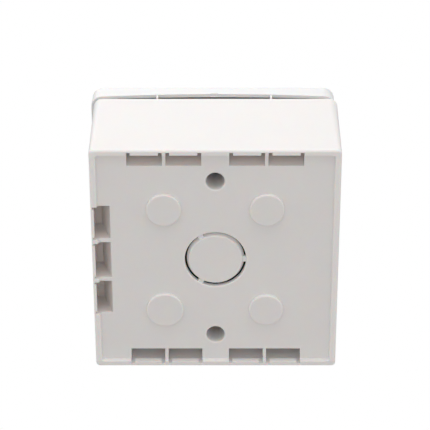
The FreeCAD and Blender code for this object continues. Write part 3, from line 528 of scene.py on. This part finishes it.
def lathe(shape, profile, centre, way=1.0):
    """Adds a turned form: (radius, height) pairs in mm, its axis along Y from the centre."""
    rings = []
    for radius, height in profile:
        y = centre[1] + way * height
        if radius == 0:
            rings.append([shape.verts.new((centre[0] * MM, y * MM, centre[2] * MM))])
            continue
        ring = []
        for step in range(ROUND_SIDES):
            angle = 2 * math.pi * step / ROUND_SIDES
            x = centre[0] + radius * math.cos(angle)
            z = centre[2] + radius * math.sin(angle)
            ring.append(shape.verts.new((x * MM, y * MM, z * MM)))
        rings.append(ring)
    bridge(shape, rings)


def add_piece(name, shape, finish, body):
    """Makes an object of a bmesh, with smooth faces and a finish, that moves with a body."""
    bmesh.ops.recalc_face_normals(shape, faces=shape.faces)
    mesh = bpy.data.meshes.new(name)
    shape.to_mesh(mesh)
    shape.free()
    for face in mesh.polygons:
        face.use_smooth = True
    mesh.materials.append(finish.material)
    piece = bpy.data.objects.new(name, mesh)
    bpy.context.scene.collection.objects.link(piece)
    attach(piece, body)
    return piece


def in_mm(node):
    """A CAD node's lowest and highest corners in millimetres."""
    low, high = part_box(node)
    return [value / MM for value in low], [value / MM for value in high]


def middle_of(low, high):
    """The point half way between two corners."""
    return [(a + b) / 2 for a, b in zip(low, high)]


# ---------------------------------------------------------------- pieces


class CALLPOINT_OT_box(bpy.types.Operator):
    """Finish the surface box, with a painted highlight on its rim and painted shade in its bays"""

    bl_idname = "callpoint.box"
    bl_label = "Surface box"

    def execute(self, context):
        chosen = settings()
        colour = tuple(chosen.box_colour)
        finish = back_box_plastic_painted_light("box_plastic_painted_light", colour, chosen.roughness, chosen.glow_depth)
        dress(finish, "back_box")
        return {"FINISHED"}


class CALLPOINT_OT_chassis(bpy.types.Operator):
    """Finish the chassis and the barrel bracket"""

    bl_idname = "callpoint.chassis"
    bl_label = "Chassis"

    def execute(self, context):
        chosen = settings()
        colour = shade(tuple(chosen.box_colour), 0.97)
        dress(
            moulded_plastic("chassis_plastic", colour, 0.5, depth=chosen.glow_depth),
            "chassis",
        )
        dress(moulded_plastic("bracket_plastic", (0.42, 0.43, 0.44), 0.45), "barrel_bracket")
        return {"FINISHED"}


class CALLPOINT_OT_fascia(bpy.types.Operator):
    """Finish the fascia, its clear strip and the light pipe"""

    bl_idname = "callpoint.fascia"
    bl_label = "Fascia"

    def execute(self, context):
        chosen = settings()
        finish = moulded_plastic(
            "fascia_plastic",
            tuple(chosen.fascia_colour),
            0.4,
            grain=1900.0,
            relief=0.006,
            mottle=0.02,
            coat=0.08,
            depth=chosen.glow_depth,
        )
        dress(finish, "fascia")
        dress(
            clear_plastic("clear_strip", (0.93, 0.95, 0.96), 0.08),
            "indicator_lens",
            "light_pipe",
        )
        return {"FINISHED"}


class CALLPOINT_OT_mechanism(bpy.types.Operator):
    """Finish the operating plate, its marks, the flag and the reset barrel"""

    bl_idname = "callpoint.mechanism"
    bl_label = "Mechanism"

    def execute(self, context):
        plate = moulded_plastic(
            "plate_plastic", (0.86, 0.855, 0.83), 0.38, grain=1900.0, relief=0.006, mottle=0.02
        )
        ink = moulded_plastic(
            "mark_ink", (0.02, 0.02, 0.021), 0.55, grain=2400.0, relief=0.01, mottle=0.15
        )
        dress(plate, "operating_plate")
        dress(ink, "plate_marks")
        dress(moulded_plastic("flag_plastic", tuple(settings().flag_colour), 0.42), "flag_slider")
        dress(moulded_plastic("barrel_plastic", (0.045, 0.047, 0.05), 0.4), "reset_barrel")
        return {"FINISHED"}


class CALLPOINT_OT_springs(bpy.types.Operator):
    """Two return springs with closed ends"""

    bl_idname = "callpoint.springs"
    bl_label = "Return springs"

    def execute(self, context):
        finish = turned_metal("spring_wire", (0.60, 0.60, 0.61), 0.3)
        for node in ("plate_spring_left", "plate_spring_right"):
            low, high = in_mm(node)
            centre = middle_of(low, high)
            length = high[1] - low[1]
            radius = (high[0] - low[0]) / 2 - WIRE_RADIUS
            shape = bmesh.new()
            self.wind(shape, centre, high[1] - WIRE_RADIUS, length - 2 * WIRE_RADIUS, radius)
            piece = add_piece(node + "_coil", shape, finish, "housing")
            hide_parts(node)
            keep = (length - PRESS_TRAVEL - SPRING_SLACK) / length
            anchor = (centre[0] * MM, high[1] * MM, centre[2] * MM)
            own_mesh(piece)
        return {"FINISHED"}

    def wind(self, shape, centre, start, length, radius):
        """A round wire along a helix whose first and last turns lie close together."""
        open_turns = COIL_TURNS - 2
        open_pitch = (length - 2 * CLOSED_PITCH) / open_turns
        rings = []
        for step in range(COIL_TURNS * COIL_STEPS + 1):
            turn = step / COIL_STEPS
            rise = min(turn, 1.0) * CLOSED_PITCH
            rise += min(max(turn - 1.0, 0.0), open_turns) * open_pitch
            rise += max(turn - COIL_TURNS + 1, 0.0) * CLOSED_PITCH
            angle = 2 * math.pi * turn
            outward = Vector((math.cos(angle), 0, math.sin(angle)))
            middle = Vector((centre[0], start - rise, centre[2])) + outward * radius
            ring = []
            for side in range(WIRE_SIDES):
                round_wire = 2 * math.pi * side / WIRE_SIDES
                across = outward * math.cos(round_wire) + Vector((0, math.sin(round_wire), 0))
                ring.append(shape.verts.new((middle + across * WIRE_RADIUS) * MM))
            rings.append(ring)
        bridge(shape, rings)
        shape.faces.new(rings[0])
        shape.faces.new(rings[-1])


class CALLPOINT_OT_switch(bpy.types.Operator):
    """Finish the switch, its pins and the terminal clamps"""

    bl_idname = "callpoint.switch"
    bl_label = "Switch"

    def execute(self, context):
        case = moulded_plastic(
            "switch_plastic", (0.025, 0.025, 0.028), 0.5, relief=0.01, mottle=0.12
        )
        dress(case, "switch_body")
        dress(moulded_plastic("plunger_plastic", (0.5, 0.02, 0.015), 0.4), "switch_plunger")
        dress(turned_metal("lever_steel", (0.68, 0.68, 0.69), 0.28), "switch_lever")
        dress(
            turned_metal("tinned_pins", (0.74, 0.74, 0.73), 0.35),
            "switch_pins",
            "terminal_clamps",
        )
        return {"FINISHED"}


class CALLPOINT_OT_board(bpy.types.Operator):
    """Finish the circuit board and what is on it"""

    bl_idname = "callpoint.board"
    bl_label = "Circuit board"

    def execute(self, context):
        dress(circuit_board_finish("board_mask", (0.012, 0.11, 0.035)), "circuit_board")
        terminal = moulded_plastic("terminal_plastic", (0.02, 0.2, 0.06), 0.5, mottle=0.08)
        lamp = moulded_plastic(
            "lamp_resin", (0.55, 0.015, 0.01), 0.2, grain=900.0, relief=0.003, mottle=0.05, coat=0.6
        )
        sleeve = moulded_plastic(
            "capacitor_sleeve",
            (0.012, 0.016, 0.04),
            0.25,
            grain=700.0,
            relief=0.004,
            mottle=0.1,
            coat=0.4,
        )
        dress(terminal, "terminal_block")
        dress(lamp, "led")
        dress(moulded_plastic("resistor_lacquer", (0.55, 0.42, 0.24), 0.35), "resistors")
        dress(sleeve, "capacitor")
        return {"FINISHED"}


class CALLPOINT_OT_solder(bpy.types.Operator):
    """Solder joints on both faces of the circuit board"""

    bl_idname = "callpoint.solder"
    bl_label = "Solder joints"

    def execute(self, context):
        board_low, board_high = in_mm("circuit_board")
        leads_low, leads_high = in_mm("resistors")
        ways_low, ways_high = in_mm("terminal_block")
        pins = middle_of(*in_mm("switch_pins"))
        lamp = middle_of(*in_mm("led"))
        can = middle_of(*in_mm("capacitor"))
        ways = middle_of(ways_low, ways_high)
        shape = bmesh.new()
        for step in (-1, 0, 1):
            lathe(shape, JOINT_PROFILE, (pins[0], board_high[1], pins[2] + step * PIN_STEP))
        for side in (-LAMP_LEADS / 2, LAMP_LEADS / 2):
            lathe(shape, DOME_PROFILE, (lamp[0] + side, board_high[1], lamp[2]))
        body_radius = (leads_high[0] - leads_low[0] - RESISTOR_SPACING) / 2
        far_side = [(leads_low[0] + body_radius, row) for row in LEAD_ROWS]
        far_side += [(leads_high[0] - body_radius, row) for row in LEAD_ROWS]
        far_side += [(can[0] + side, can[2]) for side in (-CAN_LEADS / 2, CAN_LEADS / 2)]
        for way in range(TERMINAL_WAYS):
            far_side.append((ways_low[0] + PIN_STEP * (way + 0.5), ways[2]))
        for x, z in far_side:
            lathe(shape, DOME_PROFILE, (x, board_low[1], z), -1.0)
        finish = turned_metal("solder", (0.66, 0.66, 0.64), 0.22)
        add_piece("solder_joints", shape, finish, "housing")
        return {"FINISHED"}


class CALLPOINT_OT_markings(bpy.types.Operator):
    """Colour bands on the resistors and the metal top of the capacitor"""

    bl_idname = "callpoint.markings"
    bl_label = "Component markings"

    def execute(self, context):
        low, high = in_mm("resistors")
        radius = (high[0] - low[0] - RESISTOR_SPACING) / 2
        shape = bmesh.new()
        for x in (low[0] + radius, high[0] - radius):
            for height in BAND_HEIGHTS:
                self.band(shape, x, high[1] - radius, height, radius)
        finish = moulded_plastic(
            "band_paint", (0.16, 0.045, 0.012), 0.4, grain=1400.0, relief=0.004, mottle=0.15
        )
        add_piece("resistor_bands", shape, finish, "housing")
        low, high = in_mm("capacitor")
        can = middle_of(low, high)
        shape = bmesh.new()
        lathe(shape, CAN_TOP_PROFILE, (can[0], high[1], can[2]))
        finish = turned_metal("can_top", (0.72, 0.72, 0.71), 0.32)
        add_piece("capacitor_top", shape, finish, "housing")
        return {"FINISHED"}

    def band(self, shape, x, y, z, radius):
        """One painted ring round a resistor, its axis along Z."""
        rings = []
        for rise, swell in BAND_PROFILE:
            reach = (radius + swell) * MM
            ring = []
            for step in range(ROUND_SIDES):
                angle = 2 * math.pi * step / ROUND_SIDES
                across = x * MM + reach * math.cos(angle)
                along = y * MM + reach * math.sin(angle)
                ring.append(shape.verts.new((across, along, (z + rise) * MM)))
            rings.append(ring)
        bridge(shape, rings)


class CALLPOINT_OT_screws(bpy.types.Operator):
    """Finish the screws"""

    bl_idname = "callpoint.screws"
    bl_label = "Screws"

    def execute(self, context):
        dress(
            turned_metal("zinc_plate", (0.66, 0.67, 0.68), 0.3),
            "chassis_screws",
            "bracket_screws",
            "board_screws",
            "terminal_screws",
        )
        return {"FINISHED"}


# ---------------------------------------------------------------- stage

def add_area(name, place, target, size, power):
    """A soft square lamp that faces a point."""
    lamp = bpy.data.lights.new(name, "AREA")
    lamp.shape = "SQUARE"
    lamp.size = size
    lamp.energy = power
    holder = bpy.data.objects.new(name, lamp)
    holder.location = place
    way = Vector(target) - Vector(place)
    holder.rotation_euler = way.to_track_quat("-Z", "Y").to_euler()
    bpy.context.scene.collection.objects.link(holder)


def add_camera(chosen):
    """The camera, aimed from its angles, distance and roll."""
    flat = math.cos(chosen.elevation)
    x, y = math.sin(chosen.azimuth) * flat, math.cos(chosen.azimuth) * flat
    aim = Vector(chosen.aim)
    place = Vector((x, y, math.sin(chosen.elevation))) * chosen.camera_distance
    forward = (aim - place).normalized()
    right = forward.cross(Vector((0, 0, 1))).normalized()
    up = right.cross(forward)
    tilted_right = right * math.cos(chosen.roll) + up * math.sin(chosen.roll)
    tilted_up = up * math.cos(chosen.roll) - right * math.sin(chosen.roll)
    data = bpy.data.cameras.new("camera")
    data.sensor_width = 36.0
    data.lens = chosen.lens
    data.clip_start = 0.01
    holder = bpy.data.objects.new("camera", data)
    turn = Matrix((tilted_right, tilted_up, -forward)).transposed()
    holder.matrix_world = Matrix.Translation(place) @ turn.to_4x4()
    bpy.context.scene.collection.objects.link(holder)
    bpy.context.scene.camera = holder


def seen_directly(tree):
    """1 where a ray comes from the camera, a reflection or a refraction."""
    paths = add_node(tree, "ShaderNodeLightPath")
    camera = Value(tree, paths.outputs["Is Camera Ray"])
    glossy = Value(tree, paths.outputs["Is Glossy Ray"])
    through = Value(tree, paths.outputs["Is Transmission Ray"])
    return camera.at_least(glossy).at_least(through)


def add_floor(drop):
    """A pale floor that is white away from the object and keeps its soft shadow under it."""
    mesh = bpy.data.meshes.new("floor")
    shape = bmesh.new()
    bmesh.ops.create_grid(shape, x_segments=8, y_segments=8, size=FLOOR_HALF)
    shape.to_mesh(mesh)
    shape.free()
    floor = bpy.data.objects.new("floor", mesh)
    floor.location = (0, 0, CAD_BOX[0][2] - drop)
    bpy.context.scene.collection.objects.link(floor)
    finish = Finish("floor_paint")
    finish.set(Base_Color=FLOOR_COLOUR, Roughness=0.9)
    white = finish.node("ShaderNodeEmission", Color=WHITE, Strength=1.0)
    x, y, _ = finish.axes()
    far = (x * x + y * y).above(SHADOW_REACH**2)
    mix = finish.node("ShaderNodeMixShader", Fac=seen_directly(finish.tree) * far)
    finish.tree.links.new(finish.shader.outputs[0], mix.inputs[1])
    finish.tree.links.new(white.outputs[0], mix.inputs[2])
    feed(finish.tree, finish.output.inputs["Surface"], mix.outputs[0])
    mesh.materials.append(finish.material)


def set_world(strength):
    """Even surrounding light, seen as white."""
    world = bpy.data.worlds.new("studio")
    bpy.context.scene.world = world
    world.use_nodes = True
    tree = world.node_tree
    background = tree.nodes["Background"]
    feed(tree, background.inputs["Color"], WHITE)
    shown = seen_directly(tree) * (1.0 - strength) + strength
    feed(tree, background.inputs["Strength"], shown)


class CALLPOINT_OT_stage(bpy.types.Operator):
    """Floor, lamps, surrounding light and camera"""

    bl_idname = "callpoint.stage"
    bl_label = "Stage"

    def execute(self, context):
        chosen = stage_settings()
        context.scene.view_settings.view_transform = "Standard"
        set_world(chosen.ambient)
        add_floor(chosen.floor_drop)
        add_area("top_lamp", (0.0, 0.08, 0.9), (0, -0.02, 0), 0.7, chosen.top_light)
        add_area("rear_lamp", (0.0, 1.0, 0.45), (0, 0, 0), 0.8, chosen.rear_light)
        add_area("front_lamp", (0.25, -1.0, 0.45), (0, 0, 0), 0.8, chosen.front_light)
        add_camera(chosen)
        return {"FINISHED"}


STEPS = (
    CALLPOINT_OT_box,
    CALLPOINT_OT_chassis,
    CALLPOINT_OT_fascia,
    CALLPOINT_OT_mechanism,
    CALLPOINT_OT_springs,
    CALLPOINT_OT_switch,
    CALLPOINT_OT_board,
    CALLPOINT_OT_screws,
    CALLPOINT_OT_solder,
    CALLPOINT_OT_markings,
    CALLPOINT_OT_stage,
)


class CALLPOINT_PT_sidebar(bpy.types.Panel):
    """Lists the steps that build the call point's looks"""

    bl_idname = "CALLPOINT_PT_sidebar"
    bl_label = "Call point"
    bl_space_type = "VIEW_3D"
    bl_region_type = "UI"
    bl_category = "Call point"

    def draw(self, context):
        for group in (settings(), stage_settings()):
            for name in group.bl_rna.properties.keys():
                if name not in ("rna_type", "name"):
                    self.layout.prop(group, name)
        for step in STEPS:
            self.layout.operator(step.bl_idname)


CLASSES = (CallPointSettings, StageSettings, *STEPS, CALLPOINT_PT_sidebar)


def register():
    for item in CLASSES:
        bpy.utils.register_class(item)
    bpy.types.Scene.call_point = PointerProperty(type=CallPointSettings)
    bpy.types.Scene.call_point_stage = PointerProperty(type=StageSettings)


def unregister():
    del bpy.types.Scene.call_point_stage
    del bpy.types.Scene.call_point
    for item in reversed(CLASSES):
        bpy.utils.unregister_class(item)


def main():
    register()
    for step in STEPS:
        group, name = step.bl_idname.split(".")
        getattr(getattr(bpy.ops, group), name)()


if __name__ == "__main__":
    main()
